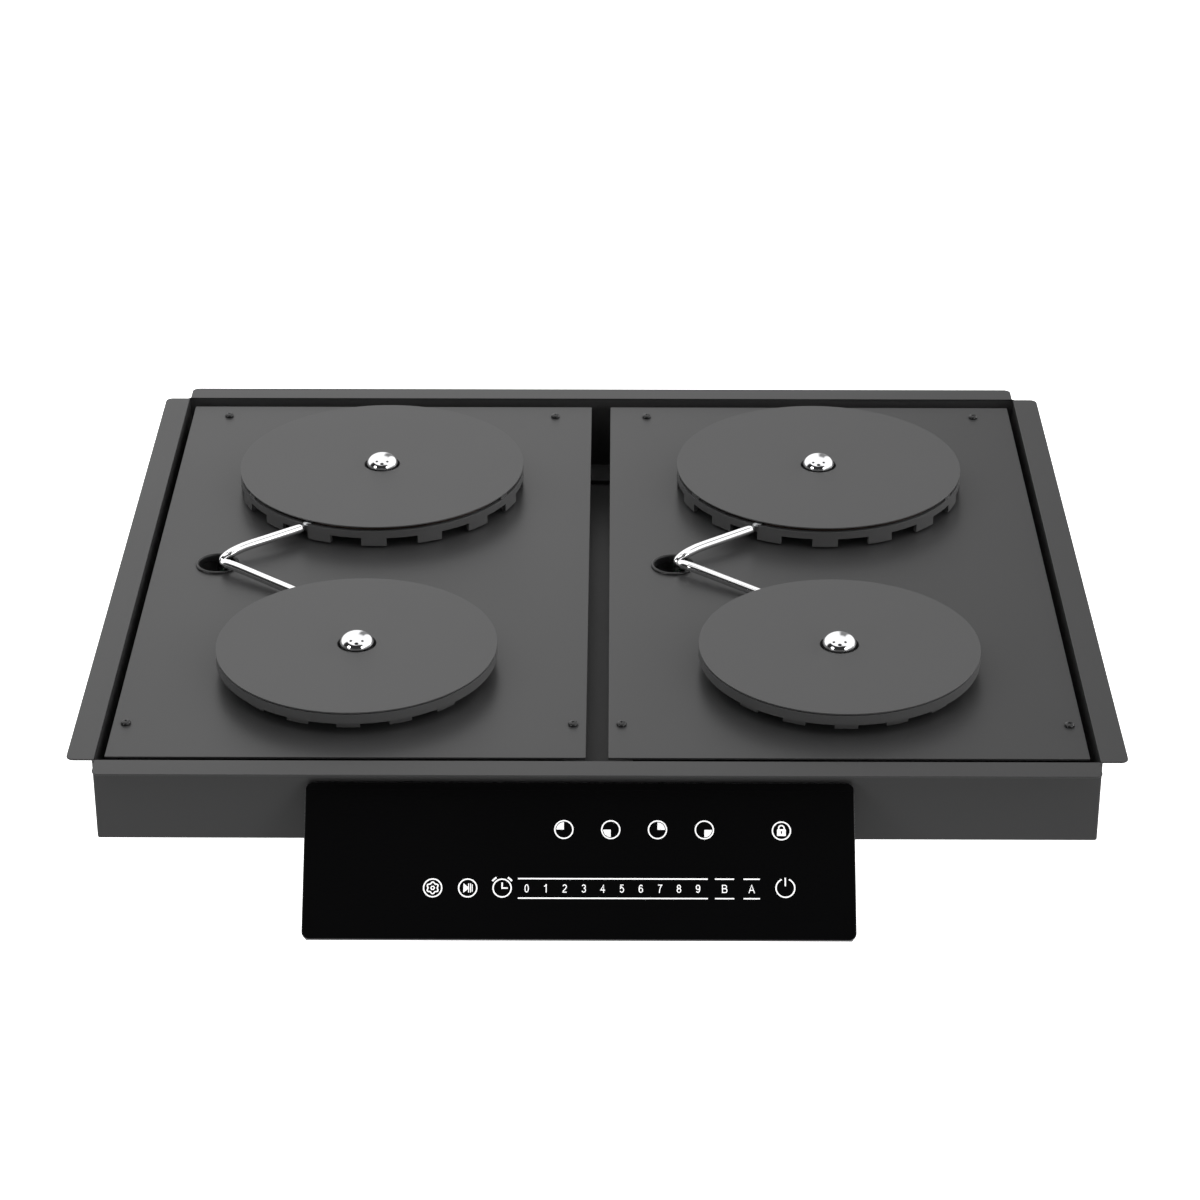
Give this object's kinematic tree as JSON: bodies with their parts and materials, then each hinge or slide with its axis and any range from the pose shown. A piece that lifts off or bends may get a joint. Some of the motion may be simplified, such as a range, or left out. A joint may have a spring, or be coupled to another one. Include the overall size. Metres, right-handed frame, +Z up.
{
  "type": "induction cooktop",
  "caption": "Shallow flanged steel tray with induction coils on plates, sprung sensor caps, cooling fans and a sloping glass touch console.",
  "frame": {"origin": "centre of the tray's opening, in the plane of the top of its flanges", "axes": "+Z up, towards the cookware; -Y towards the cook and the touch console; +X to the cook's right"},
  "size_m": [0.676, 0.6471, 0.1163],
  "materials": {
    "tray_coating": "matte black powder coat on bent sheet steel",
    "plate_coating": "fine matte charcoal coating on flat sheet",
    "screw": "black oxide, slight sheen",
    "former_plastic": "moulded matte black high-temperature plastic",
    "winding_wire": "enamelled copper litz wire",
    "coil_pad": "matte dark grey insulating pad",
    "spring_steel": "bright drawn spring wire",
    "lead_sleeve": "mirror-bright metallised sleeve",
    "chrome": "polished chrome",
    "rubber": "soft black rubber",
    "circuit_board": "green solder mask",
    "aluminium": "extruded aluminium",
    "fan_plastic": "moulded black plastic",
    "terminal_nylon": "natural nylon",
    "console_glass": "black back-printed tempered glass, high gloss",
    "console_plastic": "moulded matte black plastic",
    "cable_jacket": "black cable jacket"
  },
  "bodies": {
    "chassis": {"tray": "tray_coating", "coil_plate_left": "plate_coating", "coil_plate_right": "plate_coating", "rail_front": "tray_coating", "rail_rear": "tray_coating", "plate_screw_left_1": "screw", "plate_screw_left_2": "screw", "plate_screw_left_3": "screw", "plate_screw_left_4": "screw", "plate_screw_right_1": "screw", "plate_screw_right_2": "screw", "plate_screw_right_3": "screw", "plate_screw_right_4": "screw", "coil_former_left_rear": "former_plastic", "coil_winding_left_rear": "winding_wire", "coil_disc_left_rear": "coil_pad", "sensor_spring_left_rear": "spring_steel", "coil_lead_left_rear": "lead_sleeve", "coil_former_left_front": "former_plastic", "coil_winding_left_front": "winding_wire", "coil_disc_left_front": "coil_pad", "sensor_spring_left_front": "spring_steel", "coil_lead_left_front": "lead_sleeve", "grommet_left": "rubber", "power_board_left": "circuit_board", "heat_sink_left": "aluminium", "fan_housing_left": "fan_plastic", "coil_former_right_rear": "former_plastic", "coil_winding_right_rear": "winding_wire", "coil_disc_right_rear": "coil_pad", "sensor_spring_right_rear": "spring_steel", "coil_lead_right_rear": "lead_sleeve", "coil_former_right_front": "former_plastic", "coil_winding_right_front": "winding_wire", "coil_disc_right_front": "coil_pad", "sensor_spring_right_front": "spring_steel", "coil_lead_right_front": "lead_sleeve", "grommet_right": "rubber", "power_board_right": "circuit_board", "heat_sink_right": "aluminium", "fan_housing_right": "fan_plastic", "filter_board": "circuit_board", "terminal_block": "terminal_nylon", "cable_gland": "rubber", "console_glass": "console_glass", "console_housing": "console_plastic", "console_board": "circuit_board", "console_bracket": "tray_coating", "console_cable": "cable_jacket", "wall_screw_left": "screw", "wall_screw_right": "screw", "console_screw_left": "screw", "console_screw_right": "screw"},
    "sensor_left_rear": {"sensor_cap_left_rear": "chrome"},
    "sensor_left_front": {"sensor_cap_left_front": "chrome"},
    "sensor_right_rear": {"sensor_cap_right_rear": "chrome"},
    "sensor_right_front": {"sensor_cap_right_front": "chrome"},
    "fan_left": {"fan_rotor_left": "fan_plastic"},
    "fan_right": {"fan_rotor_right": "fan_plastic"}
  },
  "joints": [
    {"name": "sensor_left_rear_press", "type": "slide", "parent": "chassis", "child": "sensor_left_rear", "axis": [0, 0, -1], "range_m": [0, 0.006], "stiffness_N_per_m": 250, "springref_m": -0.004, "deforming": ["sensor_spring_left_rear"]},
    {"name": "sensor_left_front_press", "type": "slide", "parent": "chassis", "child": "sensor_left_front", "axis": [0, 0, -1], "range_m": [0, 0.006], "stiffness_N_per_m": 250, "springref_m": -0.004, "deforming": ["sensor_spring_left_front"]},
    {"name": "sensor_right_rear_press", "type": "slide", "parent": "chassis", "child": "sensor_right_rear", "axis": [0, 0, -1], "range_m": [0, 0.006], "stiffness_N_per_m": 250, "springref_m": -0.004, "deforming": ["sensor_spring_right_rear"]},
    {"name": "sensor_right_front_press", "type": "slide", "parent": "chassis", "child": "sensor_right_front", "axis": [0, 0, -1], "range_m": [0, 0.006], "stiffness_N_per_m": 250, "springref_m": -0.004, "deforming": ["sensor_spring_right_front"]},
    {"name": "fan_left_spin", "type": "hinge", "parent": "chassis", "child": "fan_left", "pos_m": [-0.1609, -0.169, -0.045], "axis": [0, 0, 1], "continuous": true},
    {"name": "fan_right_spin", "type": "hinge", "parent": "chassis", "child": "fan_right", "pos_m": [0.1609, -0.169, -0.045], "axis": [0, 0, 1], "continuous": true}
  ]
}
